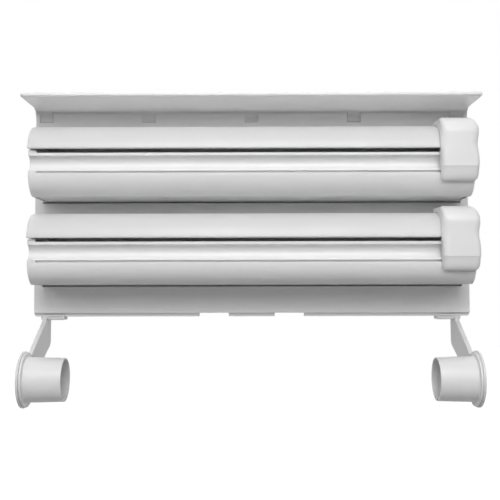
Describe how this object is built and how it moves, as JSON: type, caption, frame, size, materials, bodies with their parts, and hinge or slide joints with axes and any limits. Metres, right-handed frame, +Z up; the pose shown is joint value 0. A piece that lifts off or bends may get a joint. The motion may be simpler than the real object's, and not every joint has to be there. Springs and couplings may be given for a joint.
{
  "type": "wall-mounted kitchen roll dispenser",
  "caption": "Wall panel with a shelf, tilting film compartments with slide cutters, and sliding arms with turning spigots for a paper roll.",
  "frame": {"origin": "on the wall, at the middle of the panel's lower edge", "axes": "+X to the right seen from the front, +Y into the wall, +Z up"},
  "size_m": [0.385, 0.0957, 0.2596],
  "materials": {
    "panel_plastic": "injection-moulded white plastic, soft satin gloss",
    "shelf_plastic": "injection-moulded white plastic, soft satin gloss",
    "cover_plastic": "injection-moulded white plastic, soft satin gloss",
    "flap_plastic": "injection-moulded white plastic, soft satin gloss",
    "slider_plastic": "injection-moulded white plastic, soft satin gloss",
    "carriage_plastic": "plain moulded acetal, slightly waxy",
    "arm_plastic": "injection-moulded white plastic, soft satin gloss",
    "spigot_plastic": "injection-moulded white plastic, soft satin gloss",
    "blade_steel": "ground stainless steel",
    "screw_steel": "zinc-plated steel"
  },
  "bodies": {
    "root": {"back_panel": "panel_plastic", "top_shelf": "shelf_plastic", "upper_top_cover": "cover_plastic", "lower_top_cover": "cover_plastic", "upper_cover_screws": "screw_steel", "lower_cover_screws": "screw_steel"},
    "upper_flap": {"upper_front_flap": "flap_plastic"},
    "lower_flap": {"lower_front_flap": "flap_plastic"},
    "upper_slider": {"upper_slider_shell": "slider_plastic", "upper_slider_carriage": "carriage_plastic", "upper_cutter_blade": "blade_steel", "upper_slider_screw": "screw_steel"},
    "lower_slider": {"lower_slider_shell": "slider_plastic", "lower_slider_carriage": "carriage_plastic", "lower_cutter_blade": "blade_steel", "lower_slider_screw": "screw_steel"},
    "left_arm": {"left_roll_arm": "arm_plastic"},
    "right_arm": {"right_roll_arm": "arm_plastic"},
    "left_roll_spigot": {"left_spigot": "spigot_plastic"},
    "right_roll_spigot": {"right_spigot": "spigot_plastic"}
  },
  "joints": [
    {"name": "upper_flap_tilt", "type": "hinge", "parent": "root", "child": "upper_flap", "pos_m": [0, -0.046, 0.1065], "axis": [1, 0, 0], "range_deg": [0, 55]},
    {"name": "lower_flap_tilt", "type": "hinge", "parent": "root", "child": "lower_flap", "pos_m": [0, -0.046, 0.0325], "axis": [1, 0, 0], "range_deg": [0, 55]},
    {"name": "upper_cutter_slide", "type": "slide", "parent": "upper_flap", "child": "upper_slider", "axis": [-1, 0, 0], "range_m": [0, 0.341]},
    {"name": "lower_cutter_slide", "type": "slide", "parent": "lower_flap", "child": "lower_slider", "axis": [-1, 0, 0], "range_m": [0, 0.341]},
    {"name": "left_arm_slide", "type": "slide", "parent": "root", "child": "left_arm", "axis": [1, 0, 0], "range_m": [0, 0.118]},
    {"name": "right_arm_slide", "type": "slide", "parent": "root", "child": "right_arm", "axis": [-1, 0, 0], "range_m": [-0.002, 0.116]},
    {"name": "left_spigot_spin", "type": "hinge", "parent": "left_arm", "child": "left_roll_spigot", "pos_m": [-0.17, -0.073, -0.0517], "axis": [1, 0, 0], "continuous": true},
    {"name": "right_spigot_spin", "type": "hinge", "parent": "right_arm", "child": "right_roll_spigot", "pos_m": [0.168, -0.073, -0.0517], "axis": [1, 0, 0], "continuous": true}
  ]
}
